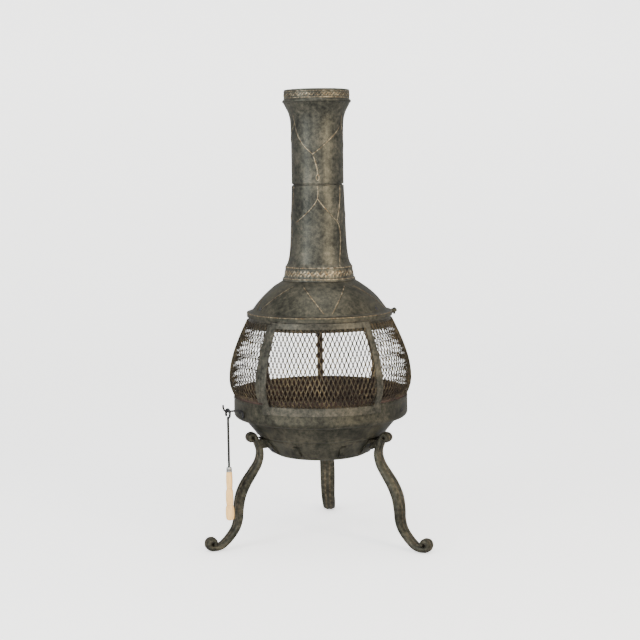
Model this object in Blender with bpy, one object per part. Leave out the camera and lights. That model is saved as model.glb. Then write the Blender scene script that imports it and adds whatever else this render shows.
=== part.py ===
"""A mesh-sided garden chiminea: fire bowl on three legs, barrel cage with a sliding door, dome and flue.

Metres, +Z up. Bearings are degrees round the flue axis: 0 is the front (-Y) and +90 is the +X side.
Every piece is made about the flue axis and hangs from one empty, which centres the assembly.
"""

import math

import bmesh
import bpy
from mathutils import Matrix, Vector

MM = 0.001

# Fits
GAP = 0.3 * MM            # between pieces that touch
FACET_GAP = 0.6 * MM      # between round pieces whose facets do not line up
RING_STEPS = 48           # facets round the large turned pieces
FLUE_STEPS = 36           # facets round the flue

# Heights above the ground
GROUND_TO_BOWL = 224.5 * MM
RIM_BOTTOM = 328 * MM
RIM_TOP = 375 * MM
CAGE_RING_TOP = 388 * MM
MESH_BOTTOM = 381 * MM
MESH_TOP = 569 * MM
LIP_BOTTOM = 577 * MM
DOME_TOP = 667 * MM
FLUE_JOINT = 907 * MM
TOTAL_HEIGHT = 1143 * MM

# Radii
BOWL_RIM = 221.5 * MM
BARREL = 232 * MM         # widest part of the cage
FLUE = 65.5 * MM
LIP = 184.5 * MM

# Sheet thicknesses
BOWL_WALL = 3.2 * MM
DOME_WALL = 3.0 * MM
FLUE_WALL = 3.0 * MM
STRIP = 3.0 * MM          # posts and door frame
MESH_SHEET = 1.5 * MM
PANEL_EDGE = 0.12         # degrees between a mesh panel and the strips beside it
RING_WALL = 2.4 * MM      # upper ring of the cage

# Bearings
LEG_BEARINGS = {"left": -66, "right": 57, "rear": 176}
POSTS = {
    "post_front_left": (-43.2, -37.8),
    "post_front_right": (34.8, 40.2),
    "post_rear_left": (-143.0, -139.1),
    "post_rear": (178.1, 182.0),
    "post_rear_right": (139.1, 143.0),
}
DOOR = (-39.0, 40.4)
DOOR_STILE = 4.8          # degrees
DOOR_TOP_RAIL = 14 * MM
DOOR_BOTTOM_RAIL = 20 * MM
DOOR_CLEARANCE = 0.9 * MM
DOOR_MESH_SET_IN = 0.7 * MM   # from the frame's back to the mesh's
DOOR_TOP = 574.5 * MM
DOOR_BOTTOM = 354 * MM
HANGER_RADIUS = 178.6 * MM    # inner face of the door's hangers, inside the dome's lip
RIM_BOLT_BEARINGS = {"left": -66, "right": 65, "rear": 180}
DOME_BOLT_BEARINGS = {"left": -62, "right": 58, "rear": 178}
HOOK_BEARING = -59.5
LUG_BEARING = 95

# Poker
POKER_RADIUS = 266 * MM   # from the flue axis
POKER_PIVOT = 355 * MM    # height of the hook wire where the eye rests
HOOK_WIRE = 5 * MM
POKER_ROD = 6 * MM
EYE_RADIUS = 10.5 * MM    # middle of the wire
FERRULE_TOP = 216 * MM
HANDLE_TOP = 204 * MM
HANDLE_BOTTOM = 82 * MM
HANDLE_LINE = [(7.0, 204), (8.2, 186), (7.8, 166), (6.8, 162), (8.8, 158), (9.6, 141), (9.0, 124),
               (8.0, 120), (10.0, 116), (10.8, 100), (9.4, 87), (5.0, 82)]

CAST_IRON = ("cast_iron", (0.075, 0.072, 0.064), 0.62, 0.75)
BRONZE = ("rubbed_bronze", (0.120, 0.105, 0.080), 0.50, 0.85)
STEEL_MESH = ("mesh_steel", (0.110, 0.105, 0.095), 0.45, 0.85)
SOOTED = ("sooted_iron", (0.040, 0.032, 0.026), 0.85, 0.45)
BLACK_STEEL = ("black_steel", (0.020, 0.020, 0.022), 0.45, 0.80)
ZINC = ("zinc", (0.550, 0.550, 0.540), 0.35, 1.00)
WOOD = ("pale_wood", (0.620, 0.430, 0.250), 0.55, 0.00)


# ---------------------------------------------------------------- helpers

def clear_scene():
    for thing in list(bpy.data.objects):
        bpy.data.objects.remove(thing, do_unlink=True)


def material(spec):
    name, colour, roughness, metallic = spec
    found = bpy.data.materials.get(name)
    if found:
        return found
    made = bpy.data.materials.new(name)
    made.use_nodes = True
    shader = made.node_tree.nodes["Principled BSDF"]
    shader.inputs["Base Color"].default_value = (*colour, 1.0)
    shader.inputs["Roughness"].default_value = roughness
    shader.inputs["Metallic"].default_value = metallic
    made.diffuse_color = (*colour, 1.0)
    return made


def polar(radius, bearing, height=0.0):
    """A point at a bearing round the flue axis."""
    angle = math.radians(bearing)
    return Vector((radius * math.sin(angle), -radius * math.cos(angle), height))


def outward_frame(bearing, radius, height, tilt=0.0):
    """Places something whose own +Z points out from the flue axis, tilted down by tilt degrees."""
    turn = Matrix.Rotation(math.radians(bearing), 4, "Z")
    face_out = Matrix.Rotation(math.radians(90 + tilt), 4, "X")
    return Matrix.Translation(polar(radius, bearing, height)) @ turn @ face_out


def finish(name, bm, spec, parent, sharp=40):
    bmesh.ops.recalc_face_normals(bm, faces=bm.faces)
    mesh = bpy.data.meshes.new(name)
    bm.to_mesh(mesh)
    bm.free()
    mesh.shade_smooth()
    mesh.set_sharp_from_angle(angle=math.radians(sharp))
    mesh.materials.append(material(spec))
    made = bpy.data.objects.new(name, mesh)
    bpy.context.collection.objects.link(made)
    made.parent = parent
    return made


def hide_cutter(cutter):
    cutter.hide_render = True
    cutter.display_type = "WIRE"


def boolean(target, tool, operation):
    """Cuts target by tool, or joins tool to it; the tool stays as a hidden guide."""
    step = target.modifiers.new(operation.lower(), "BOOLEAN")
    step.object = tool
    step.operation = operation
    step.solver = "EXACT"
    hide_cutter(tool)


def arc(centre, radius, start, end, steps):
    """Points along a circle in a plane, from one angle in degrees to another."""
    points = []
    for i in range(steps + 1):
        angle = math.radians(start + (end - start) * i / steps)
        points.append((centre[0] + radius * math.cos(angle), centre[1] + radius * math.sin(angle)))
    return points


def bezier(controls, steps):
    """Points along a Bezier curve of any degree."""
    degree = len(controls) - 1
    points = []
    for i in range(steps + 1):
        t = i / steps
        weights = [math.comb(degree, k) * t**k * (1 - t) ** (degree - k) for k in range(degree + 1)]
        points.append(tuple(sum(w * c[a] for w, c in zip(weights, controls)) for a in range(2)))
    return points


def smooth_path(points, steps):
    """Points along a Catmull-Rom curve through a route's own points."""
    padded = [points[0], *points, points[-1]]
    route = []
    for i in range(len(points) - 1):
        a, b, c, d = (Vector(p) for p in padded[i:i + 4])
        for k in range(steps):
            t = k / steps
            blend = 2 * b + (c - a) * t + (2 * a - 5 * b + 4 * c - d) * t**2
            route.append((blend + (3 * b - a - 3 * c + d) * t**3) / 2)
    route.append(Vector(points[-1]))
    return route


def offset(path, distance):
    """The path moved sideways, to the right of its direction."""
    moved = []
    for i, point in enumerate(path):
        before = Vector(path[max(i - 1, 0)])
        after = Vector(path[min(i + 1, len(path) - 1)])
        here = Vector(point)
        sides = []
        for step in (here - before, after - here):
            if step.length > 1e-9:
                step.normalize()
                sides.append(Vector((step.y, -step.x)))
        normal = sum(sides, Vector((0, 0))).normalized()
        stretch = 1 / max(normal.dot(sides[0]), 0.5)
        moved.append(tuple(here + normal * distance * stretch))
    return moved


def shell_outline(outer, wall):
    """A closed outline from an outer line that runs from top to bottom, and its wall."""
    return list(outer) + offset(outer, wall)[::-1]


def turned(outline, steps):
    """The full turn of a closed outline of (radius, height) points."""
    bm = bmesh.new()
    on_axis = {i: bm.verts.new((0, 0, z)) for i, (r, z) in enumerate(outline) if r < 1e-6}
    rings = []
    for k in range(steps):
        bearing = 360 * k / steps
        ring = [on_axis.get(i) or bm.verts.new(polar(r, bearing, z)) for i, (r, z) in enumerate(outline)]
        rings.append(ring)
    count = len(outline)
    for k in range(steps):
        here, there = rings[k], rings[(k + 1) % steps]
        for i in range(count):
            j = (i + 1) % count
            corners = []
            for corner in (here[i], here[j], there[j], there[i]):
                if corner not in corners:
                    corners.append(corner)
            if len(corners) > 2:
                bm.faces.new(corners)
    return bm


def sector(outline, first, last, step=6.0):
    """Part of a turn of a closed outline, with flat ends."""
    bm = bmesh.new()
    slices = max(1, math.ceil((last - first) / step))
    rings = []
    for k in range(slices + 1):
        bearing = first + (last - first) * k / slices
        rings.append([bm.verts.new(polar(r, bearing, z)) for r, z in outline])
    for here, there in zip(rings, rings[1:]):
        for i in range(len(outline)):
            j = (i + 1) % len(outline)
            bm.faces.new((here[i], here[j], there[j], there[i]))
    bm.faces.new(rings[0])
    bm.faces.new(rings[-1][::-1])
    return bm


def barrel_line():
    """The cage's outline from its top to its bottom, as (radius, height)."""
    upper = bezier([(183 * MM, 572 * MM), (212 * MM, 514 * MM), (BARREL, 466 * MM), (BARREL, 418 * MM)], 24)
    lower = bezier([(BARREL, 418 * MM), (BARREL, 402 * MM), (226 * MM, 388 * MM), (219 * MM, 374 * MM)], 12)
    return upper + lower[1:]


BARREL_LINE = barrel_line()


def barrel_radius(height):
    """The cage's radius at a height; it carries on straight past both ends."""
    line = BARREL_LINE
    for (r_a, z_a), (r_b, z_b) in zip(line, line[1:]):
        if height >= z_b or (r_b, z_b) == line[-1]:
            return r_a + (r_b - r_a) * (height - z_a) / (z_b - z_a)


def barrel_sheet(bearings, heights, inner, outer, is_open=None, floor_radius=0.0):
    """A curved plate that follows the cage, between two offsets from it.

    is_open(i, j) says which cells of the grid of bearings and heights are left out.
    floor_radius is the least inner radius below the mesh, where the plate passes over the bowl's rim.
    """
    bm = bmesh.new()
    thickness = outer - inner
    corners = {}

    def corner(i, j, side):
        key = (i, j, side)
        if key not in corners:
            radius = barrel_radius(heights[j]) + inner
            if heights[j] < MESH_BOTTOM + 2 * MM:
                radius = max(radius, floor_radius)
            radius += thickness * side
            corners[key] = bm.verts.new(polar(radius, bearings[i], heights[j]))
        return corners[key]

    filled = set()
    for i in range(len(bearings) - 1):
        for j in range(len(heights) - 1):
            if is_open is None or not is_open(i, j):
                filled.add((i, j))
    for i, j in sorted(filled):
        square = [(i, j), (i + 1, j), (i + 1, j + 1), (i, j + 1)]
        bm.faces.new([corner(a, b, 1) for a, b in square])
        bm.faces.new([corner(a, b, 0) for a, b in square[::-1]])
        neighbours = [(i, j - 1), (i + 1, j), (i, j + 1), (i - 1, j)]
        for k, neighbour in enumerate(neighbours):
            if neighbour not in filled:
                p, q = square[k], square[(k + 1) % 4]
                bm.faces.new((corner(*p, 0), corner(*q, 0), corner(*q, 1), corner(*p, 1)))
    return bm


def spaced(first, last, step):
    count = max(1, math.ceil(abs(last - first) / step))
    return [first + (last - first) * i / count for i in range(count + 1)]


def rod(name, points, diameter, spec, parent, resolution=2):
    """A round wire along a list of points, with closed ends."""
    curve = bpy.data.curves.new(name, "CURVE")
    curve.dimensions = "3D"
    curve.bevel_depth = diameter / 2
    curve.bevel_resolution = resolution
    curve.use_fill_caps = True
    spline = curve.splines.new("POLY")
    spline.points.add(len(points) - 1)
    for target, point in zip(spline.points, points):
        target.co = (*point, 1.0)
    curve.materials.append(material(spec))
    made = bpy.data.objects.new(name, curve)
    bpy.context.collection.objects.link(made)
    made.parent = parent
    return made


# ---------------------------------------------------------------- fasteners

BOLT_SHANK = 2.9 * MM
BOLT_HOLE = 3.3 * MM
BOLT_HEAD = 5.5 * MM
HEAD_HEIGHT = 3.2 * MM
NUT_ACROSS = 6.2 * MM
NUT_HEIGHT = 4.0 * MM


def bolt(name, place, length, parent):
    """A round-headed bolt; its own origin is under the head, with the shank along -Z."""
    dome = [(BOLT_HEAD * 0.55, HEAD_HEIGHT), (BOLT_HEAD * 0.9, HEAD_HEIGHT * 0.6), (BOLT_HEAD, 0)]
    outline = [(0, HEAD_HEIGHT), *dome, (BOLT_SHANK, 0), (BOLT_SHANK, -length), (0, -length)]
    made = finish(name, turned(outline, 10), BLACK_STEEL, parent)
    made.matrix_local = place
    return made


def nut(name, place, parent):
    """A hexagon nut whose own origin is its seat, growing along -Z."""
    bore = BOLT_HOLE / math.cos(math.radians(30))
    outline = [(bore, 0), (NUT_ACROSS, 0), (NUT_ACROSS, -NUT_HEIGHT), (bore, -NUT_HEIGHT)]
    made = finish(name, turned(outline, 6), BLACK_STEEL, parent, sharp=20)
    made.matrix_local = place
    return made


def drill(name, places, parent):
    """A cutter with one short round bar across each bolt's place."""
    bm = bmesh.new()
    reach = 14 * MM
    for place in places:
        made = bmesh.ops.create_cone(
            bm, cap_ends=True, segments=10, radius1=BOLT_HOLE, radius2=BOLT_HOLE, depth=2 * reach)
        bmesh.ops.transform(bm, matrix=place, verts=made["verts"])
    return finish(name, bm, BLACK_STEEL, parent)


def bolted(prefix, places, stack, parent):
    """A bolt, and the nut behind the sheets that it holds, at each place."""
    for key, place in places.items():
        bolt(f"{prefix}_bolt_{key}", place, stack + NUT_HEIGHT + 2 * MM, parent)
        seat = place @ Matrix.Translation((0, 0, -stack))
        nut(f"{prefix}_nut_{key}", seat, parent)


# ---------------------------------------------------------------- bowl and legs

CONE_TOP = (199 * MM, 320.5 * MM)
CONE_RIDGE = (165 * MM, 279 * MM)
CONE_FOOT = (121 * MM, 227.5 * MM)
CONE_SLOPE = math.degrees(math.atan2(CONE_RIDGE[1] - CONE_FOOT[1], CONE_RIDGE[0] - CONE_FOOT[0]))


def cone_radius(height):
    """The bowl's outer radius on its lower cone."""
    share = (height - CONE_FOOT[1]) / (CONE_RIDGE[1] - CONE_FOOT[1])
    return CONE_FOOT[0] + (CONE_RIDGE[0] - CONE_FOOT[0]) * share


def bowl_outer():
    ridge_r, ridge_z = CONE_RIDGE
    line = [(BOWL_RIM, RIM_TOP), (BOWL_RIM, RIM_BOTTOM), (BOWL_RIM - 4 * MM, RIM_BOTTOM - 5 * MM), CONE_TOP]
    line += [(ridge_r + 3.5 * MM, ridge_z + 4 * MM), CONE_RIDGE]
    line += [CONE_FOOT, (115 * MM, GROUND_TO_BOWL), (0, GROUND_TO_BOWL)]
    return line


def make_bowl(parent):
    outer = bowl_outer()
    inner = offset(outer, BOWL_WALL)
    inner[0] = (BOWL_RIM - BOWL_WALL, RIM_TOP)
    inner[-1] = (0, GROUND_TO_BOWL + BOWL_WALL)
    return finish("fire_bowl", turned(outer + inner[::-1], RING_STEPS), CAST_IRON, parent)


LEG_PAD_TOP = 273 * MM
LEG_PAD_BOTTOM = 233 * MM
LEG_PAD = 5 * MM
LEG_PAD_HALF = 10.5       # degrees
LEG_WEB_HALF = 2.5        # degrees
LEG_BOLTS = {"upper": (-8.0, 262 * MM), "lower": (8.0, 244 * MM)}


def pad_radius(height):
    """The outer face of a leg's pad, which lies against the bowl's cone."""
    return cone_radius(height) + (FACET_GAP + LEG_PAD) / math.sin(math.radians(CONE_SLOPE))


def leg_places(side):
    """Each leg's two bolts, one each side of its bar, looking straight out from the pad."""
    places = {}
    for key, (shift, height) in LEG_BOLTS.items():
        bearing = LEG_BEARINGS[side] + shift
        places[f"{side}_{key}"] = outward_frame(bearing, pad_radius(height) + GAP, height, 90 - CONE_SLOPE)
    return places


SCROLL_TOP = (193 * MM, 278 * MM)
SCROLL_TOP_RADIUS = 9.5 * MM
SCROLL_FOOT_RADIUS = 11.5 * MM
FOOT_HALF = 6.5 * MM      # half the bar's depth where it lies on the ground
SCROLL_FOOT = (303 * MM, SCROLL_FOOT_RADIUS + FOOT_HALF)
LEG_S = [(177, 262), (171, 246), (171, 229), (178, 209), (193, 187), (210, 163), (224, 134),
         (230, 103), (232, 75), (240, 51), (257, 29)]
SECTION = [(-1.0, -0.55), (-0.55, -1.0), (0.55, -1.0), (1.0, -0.55),
           (1.0, 0.55), (0.55, 1.0), (-0.55, 1.0), (-1.0, 0.55)]


def leg_line():
    """The middle of the leg's bar from the curl under the bowl to the curl at the foot."""
    curl = arc(SCROLL_TOP, SCROLL_TOP_RADIUS, -95, 180, 10)
    route = [curl[-1], *[(r * MM, z * MM) for r, z in LEG_S]]
    route += [(275 * MM, FOOT_HALF + 4.5 * MM), (285 * MM, FOOT_HALF + 0.3 * MM)]
    middle = [tuple(p) for p in smooth_path(route, 2)]
    middle += [(r * MM, FOOT_HALF) for r in (288, 291, 303)]
    foot = arc(SCROLL_FOOT, SCROLL_FOOT_RADIUS, -90, 165, 9)
    return curl[:-1] + middle + foot[1:]


def bar(path, half_depth, half_width, section):
    """A solid bar along a path in the radius-height plane, with its width across that plane."""
    bm = bmesh.new()
    rings = []
    for i, point in enumerate(path):
        before = Vector(path[max(i - 1, 0)])
        after = Vector(path[min(i + 1, len(path) - 1)])
        along = (after - before).normalized()
        side = Vector((along.y, -along.x))
        share = i / (len(path) - 1)
        ring = []
        for depth, width in section:
            spot = Vector(point) + side * depth * half_depth(share)
            ring.append(bm.verts.new((width * half_width(share), -spot.x, spot.y)))
        rings.append(ring)
    for here, there in zip(rings, rings[1:]):
        for i in range(len(section)):
            j = (i + 1) % len(section)
            bm.faces.new((here[i], here[j], there[j], there[i]))
    bm.faces.new(rings[0])
    bm.faces.new(rings[-1][::-1])
    return bm


def leg_half_depth(share):
    """Thin in the curls, deepest along the S."""
    thin = 1.8 * MM * max(0.0, 1 - share / 0.22)
    if 0.22 < share < 0.72:
        return FOOT_HALF + 3.0 * MM * math.sin(math.pi * (share - 0.22) / 0.5)
    return FOOT_HALF - thin


def leg_half_width(share):
    """Narrow at both curls and widest at the top of the S."""
    return (14 + 5.5 * math.sin(math.pi * share) ** 2) * MM


def make_leg(side, parent):
    """A scrolled bar with a bolted pad, joined by a web, cast in one piece."""
    turn = Matrix.Rotation(math.radians(LEG_BEARINGS[side]), 4, "Z")
    leg = finish(f"leg_{side}", bar(leg_line(), leg_half_depth, leg_half_width, SECTION), CAST_IRON, parent)
    leg.matrix_local = turn
    across = FACET_GAP / math.sin(math.radians(CONE_SLOPE))
    heights = (LEG_PAD_TOP, LEG_PAD_BOTTOM)
    inner = [(cone_radius(z) + across, z) for z in heights]
    outer = [(pad_radius(z), z) for z in heights]
    pad = sector([inner[0], outer[0], outer[1], inner[1]], -LEG_PAD_HALF, LEG_PAD_HALF, 3.5)
    web_heights = (LEG_PAD_TOP - 2 * MM, LEG_PAD_TOP - 24 * MM)
    root = [(pad_radius(z) - 2 * MM, z) for z in web_heights]
    tip = [(182 * MM, web_heights[0]), (172 * MM, web_heights[1])]
    web = sector([root[0], tip[0], tip[1], root[1]], -LEG_WEB_HALF, LEG_WEB_HALF, 5)
    for key, piece in {"pad": pad, "web": web}.items():
        joined = finish(f"leg_{key}_{side}", piece, CAST_IRON, parent)
        joined.matrix_local = turn
        boolean(leg, joined, "UNION")
    places = leg_places(side)
    boolean(leg, drill(f"leg_drill_{side}", places.values(), parent), "DIFFERENCE")
    bolted("leg", places, LEG_PAD + FACET_GAP + BOWL_WALL + 3 * GAP, parent)


# ---------------------------------------------------------------- fire grate

GRATE_RADIUS = 158 * MM
GRATE_HEIGHT = 279.5 * MM  # where the bearers' corners meet the slope of the bowl
GRATE_BAR = 8 * MM
GRATE_BARS = 7
GRATE_OVERHANG = 3 * MM  # how far each bar runs past the bearers


def box_between(bm, low, high):
    made = bmesh.ops.create_cube(bm, size=1.0)
    size = Vector(high) - Vector(low)
    middle = (Vector(high) + Vector(low)) / 2
    place = Matrix.Translation(middle) @ Matrix.Diagonal((*size, 1.0))
    bmesh.ops.transform(bm, matrix=place, verts=made["verts"])


def make_grate(parent):
    """Parallel bars across two bearers, which rest on the slope of the bowl."""
    bearers = bmesh.new()
    reach = 0.55 * GRATE_RADIUS
    half = GRATE_BAR / 2
    base = GRATE_HEIGHT
    for y in (-reach, reach):
        end = math.sqrt(GRATE_RADIUS**2 - reach**2)
        box_between(bearers, (-end, y - half, base), (end, y + half, base + GRATE_BAR))
    across = bmesh.new()
    for i in range(GRATE_BARS):
        x = GRATE_RADIUS * 0.8 * (2 * i / (GRATE_BARS - 1) - 1)
        end = reach + half + GRATE_OVERHANG
        low = (x - half, -end, base + GRATE_BAR * 0.6)
        box_between(across, low, (x + half, end, base + GRATE_BAR * 1.6))
    grate = finish("fire_grate", across, SOOTED, parent)
    boolean(grate, finish("fire_grate_bearers", bearers, SOOTED, parent), "UNION")


# ---------------------------------------------------------------- cage

POST_OUT = 0.4 * MM       # how far the posts stand proud of the mesh


def cage_heights():
    return spaced(MESH_TOP, MESH_BOTTOM, 20 * MM)


def make_cage(parent):
    lower_outer = BOWL_RIM - BOWL_WALL - FACET_GAP
    lower = [(lower_outer, CAGE_RING_TOP), (lower_outer, RIM_BOTTOM + 7 * MM)]
    ring = finish("cage_ring_lower", turned(shell_outline(lower, STRIP), RING_STEPS), CAST_IRON, parent)
    boolean(ring, drill("ring_rim_drill", rim_places().values(), parent), "DIFFERENCE")

    heights = cage_heights()
    for name, (first, last) in POSTS.items():
        sheet = barrel_sheet(spaced(first, last, 3), heights, POST_OUT - STRIP, POST_OUT)
        finish(name, sheet, BRONZE, parent)

    left = (POSTS["post_rear_left"][1] + PANEL_EDGE, POSTS["post_front_left"][0] - PANEL_EDGE)
    right = (POSTS["post_front_right"][1] + PANEL_EDGE, POSTS["post_rear_right"][0] - PANEL_EDGE)
    for name, (first, last) in {"mesh_left": left, "mesh_right": right}.items():
        sheet = barrel_sheet(spaced(first, last, 6), heights, -MESH_SHEET, 0.0)
        finish(name, sheet, STEEL_MESH, parent)


TOP_RAIL_ROWS = 2         # rows of the door's grid in its top rail


def door_heights():
    """The door bends at the posts' own heights, so that it never dips between them."""
    top_rail = [DOOR_TOP, MESH_TOP, DOOR_TOP - DOOR_TOP_RAIL]
    bottom_rail = [DOOR_BOTTOM + DOOR_BOTTOM_RAIL, DOOR_BOTTOM]
    between = [z for z in cage_heights() if bottom_rail[0] + 2 * MM < z < top_rail[-1] - 2 * MM]
    return top_rail + between + bottom_rail


def make_door(parent):
    first, last = DOOR
    stiles = (first + DOOR_STILE, last - DOOR_STILE)
    bearings = [first, *spaced(stiles[0], stiles[1], 6), last]
    heights = door_heights()

    def window(i, j):
        return 0 < i < len(bearings) - 2 and TOP_RAIL_ROWS <= j < len(heights) - 2

    rim_clear = BOWL_RIM + DOOR_CLEARANCE
    sheet = barrel_sheet(bearings, heights, DOOR_CLEARANCE, DOOR_CLEARANCE + STRIP, window, rim_clear)
    finish("door_frame", sheet, BRONZE, parent)

    rows = [heights[TOP_RAIL_ROWS] - GAP, *heights[TOP_RAIL_ROWS + 1:-2], heights[-2] + GAP]
    columns = spaced(stiles[0] + PANEL_EDGE, stiles[1] - PANEL_EDGE, 6)
    inner = DOOR_CLEARANCE + DOOR_MESH_SET_IN
    panel = barrel_sheet(columns, rows, inner, inner + MESH_SHEET, None, rim_clear + DOOR_MESH_SET_IN)
    finish("door_mesh", panel, STEEL_MESH, parent)

    # Hangers hook up inside the dome's lip; shoes slide along the top edge of the bowl's rim.
    top_radius = barrel_radius(DOOR_TOP) + DOOR_CLEARANCE + STRIP
    foot_z = DOOR_TOP + GAP
    plate = 1.6 * MM
    inner = HANGER_RADIUS
    hook_top = LIP_BOTTOM + 5 * MM
    hanger = [(top_radius, foot_z), (top_radius, foot_z + plate), (inner + plate, foot_z + plate),
              (inner + plate, hook_top), (inner, hook_top), (inner, foot_z)]
    shoe_out, shoe_in = rim_clear - GAP, rim_clear - GAP - 3 * MM
    shoe_low, shoe_high = RIM_TOP + 0.8 * MM, RIM_TOP + 3.4 * MM
    shoe = [(shoe_out, shoe_low), (shoe_out, shoe_high), (shoe_in, shoe_high), (shoe_in, shoe_low)]
    for side, bearing in {"left": first + 8, "right": last - 8}.items():
        finish(f"door_hanger_{side}", sector(hanger, bearing - 3, bearing + 3, 3), BRONZE, parent)
        finish(f"door_shoe_{side}", sector(shoe, bearing - 3, bearing + 3, 3), BRONZE, parent)


# ---------------------------------------------------------------- dome and flue

def dome_outer():
    """The dome's outer line from the collar inside the flue, down to its lip."""
    flank = bezier([(92 * MM, DOME_TOP), (140.9 * MM, 638 * MM), (171.5 * MM, 592 * MM)], 7)
    collar = [(80 * MM, DOME_TOP + 17 * MM), (80 * MM, DOME_TOP + 1 * MM)]
    return collar + flank + [(LIP, LIP_BOTTOM + 11 * MM), (LIP, LIP_BOTTOM)]


DOME_BOLT_POINT = (164.6 * MM, 601.1 * MM)
DOME_BOLT_TILT = -36      # looks up along the flank's normal


def dome_places():
    return {
        side: outward_frame(bearing, DOME_BOLT_POINT[0] + 1.2 * MM, DOME_BOLT_POINT[1], DOME_BOLT_TILT)
        for side, bearing in DOME_BOLT_BEARINGS.items()
    }


def make_dome(parent):
    dome = finish("dome", turned(shell_outline(dome_outer(), DOME_WALL), RING_STEPS), CAST_IRON, parent)
    # The cage's upper ring follows the inside of the dome's flank, drops inside the door's
    # hangers, and then lies against the inside of the posts and the mesh.
    flank = offset(dome_outer(), DOME_WALL + FACET_GAP)[-5:-2]
    line = [*flank, (HANGER_RADIUS - GAP, flank[-1][1] - 4 * MM), (HANGER_RADIUS - GAP, MESH_TOP + 2 * MM)]
    for height in (MESH_TOP - 3 * MM, MESH_TOP - 16 * MM):
        line.append((barrel_radius(height) + POST_OUT - STRIP - FACET_GAP, height))
    ring = turned(shell_outline(line, RING_WALL), RING_STEPS)
    ring = finish("cage_ring_upper", ring, CAST_IRON, parent)
    places = dome_places()
    boolean(dome, drill("dome_drill", places.values(), parent), "DIFFERENCE")
    boolean(ring, drill("ring_drill", places.values(), parent), "DIFFERENCE")
    bolted("dome", places, DOME_WALL + FACET_GAP + RING_WALL + 2.2 * MM, parent)


def make_flue(parent):
    """Lower pipe with its relief band, and the upper pipe with a flared, beaded crown."""
    neck = FLUE - FLUE_WALL - FACET_GAP
    lower = [(neck, FLUE_JOINT + 24 * MM), (neck, FLUE_JOINT - 1 * MM), (FLUE + 0.3 * MM, FLUE_JOINT - 2 * MM)]
    lower += [(70.6 * MM, 778 * MM), (72.5 * MM, 748 * MM), (75.5 * MM, 725 * MM), (81 * MM, 708 * MM)]
    lower += [(85.2 * MM, 700 * MM), (85.4 * MM, 689 * MM), (89 * MM, 675 * MM)]
    seat = DOME_TOP + 0.5 * MM
    lower += [(93 * MM, seat + 3 * MM), (92.5 * MM, seat)]
    bore = [(89 * MM, seat), (82 * MM, 692 * MM), (70 * MM, 735 * MM)]
    bore += [(FLUE - 3 * MM, FLUE_JOINT - 30 * MM), (neck - FLUE_WALL, FLUE_JOINT)]
    bore += [(neck - FLUE_WALL, FLUE_JOINT + 24 * MM)]
    finish("flue_lower", turned(lower + bore, FLUE_STEPS), BRONZE, parent)

    bead = arc((82.2 * MM, 1114 * MM), 4.3 * MM, -75, 75, 4)[::-1]
    upper = [(79 * MM, TOTAL_HEIGHT), (82 * MM, TOTAL_HEIGHT - 3 * MM), (82 * MM, 1120.5 * MM), *bead]
    upper += [(78 * MM, 1099 * MM), (72 * MM, 1087 * MM), (68 * MM, 1072 * MM), (66.2 * MM, 1052 * MM)]
    upper += [(FLUE, 1015 * MM), (FLUE, FLUE_JOINT + 2 * MM)]
    inner = [(FLUE - FLUE_WALL, FLUE_JOINT + 2 * MM), (FLUE - FLUE_WALL, 1050 * MM)]
    inner += [(68.5 * MM, 1085 * MM), (76 * MM, 1110 * MM), (76 * MM, TOTAL_HEIGHT)]
    finish("flue_upper", turned(upper + inner, FLUE_STEPS), BRONZE, parent)


# ---------------------------------------------------------------- rim fittings and poker

RIM_BOLT_HEIGHT = 346 * MM


def rim_places():
    """Three bolts hold the cage's lower ring inside the bowl's rim."""
    places = {}
    for side, bearing in RIM_BOLT_BEARINGS.items():
        places[side] = outward_frame(bearing, BOWL_RIM + GAP, RIM_BOLT_HEIGHT)
    return places


def drill_bowl(bowl, parent):
    places = list(rim_places().values())
    for side in LEG_BEARINGS:
        places += leg_places(side).values()
    boolean(bowl, drill("bowl_drill", places, parent), "DIFFERENCE")
    bolted("rim", rim_places(), BOWL_WALL + FACET_GAP + STRIP + 3 * GAP, parent)


VENT_BEARINGS = {"left": -25, "right": 21}


def make_vents(parent):
    """Two small hoods low on the front of the bowl's cone."""
    across = FACET_GAP / math.sin(math.radians(CONE_SLOPE))
    low, high = 235 * MM, 263 * MM
    outline = [(cone_radius(high) + across, high), (cone_radius(high) + 4 * MM, high),
               (cone_radius(low) + 9 * MM, low + 2 * MM), (cone_radius(low) + across, low)]
    for side, bearing in VENT_BEARINGS.items():
        finish(f"vent_hood_{side}", sector(outline, bearing - 2.6, bearing + 2.6, 2.6), CAST_IRON, parent)


def make_lug(parent):
    """An ear on the dome's lip, with a bolt standing in it."""
    inner = LIP + GAP
    top = LIP_BOTTOM + 12 * MM
    outline = [(inner, top), (LIP + 13 * MM, top), (LIP + 13 * MM, top - 6 * MM), (inner, top - 11 * MM)]
    lug = finish("dome_lug", sector(outline, LUG_BEARING - 2.4, LUG_BEARING + 2.4, 2.4), CAST_IRON, parent)
    place = Matrix.Translation(polar(LIP + 7 * MM, LUG_BEARING, top + GAP))
    boolean(lug, drill("lug_drill", [place], parent), "DIFFERENCE")
    bolt("dome_lug_bolt", place, 14 * MM, parent)


def hook_line():
    """The hook's wire in the radius-height plane, from the rim out to its raised tip."""
    wall = BOWL_RIM + FACET_GAP + HOOK_WIRE / 2
    flat = POKER_PIVOT
    return [(wall, flat - 21 * MM), (wall, flat - 12 * MM), (wall + 2 * MM, flat - 5 * MM),
            (wall + 9 * MM, flat - 1 * MM), (POKER_RADIUS - 16 * MM, flat), (POKER_RADIUS, flat),
            (POKER_RADIUS + 8 * MM, flat + 3 * MM), (POKER_RADIUS + 12 * MM, flat + 9 * MM),
            (POKER_RADIUS + 13 * MM, flat + 18 * MM)]


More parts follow.
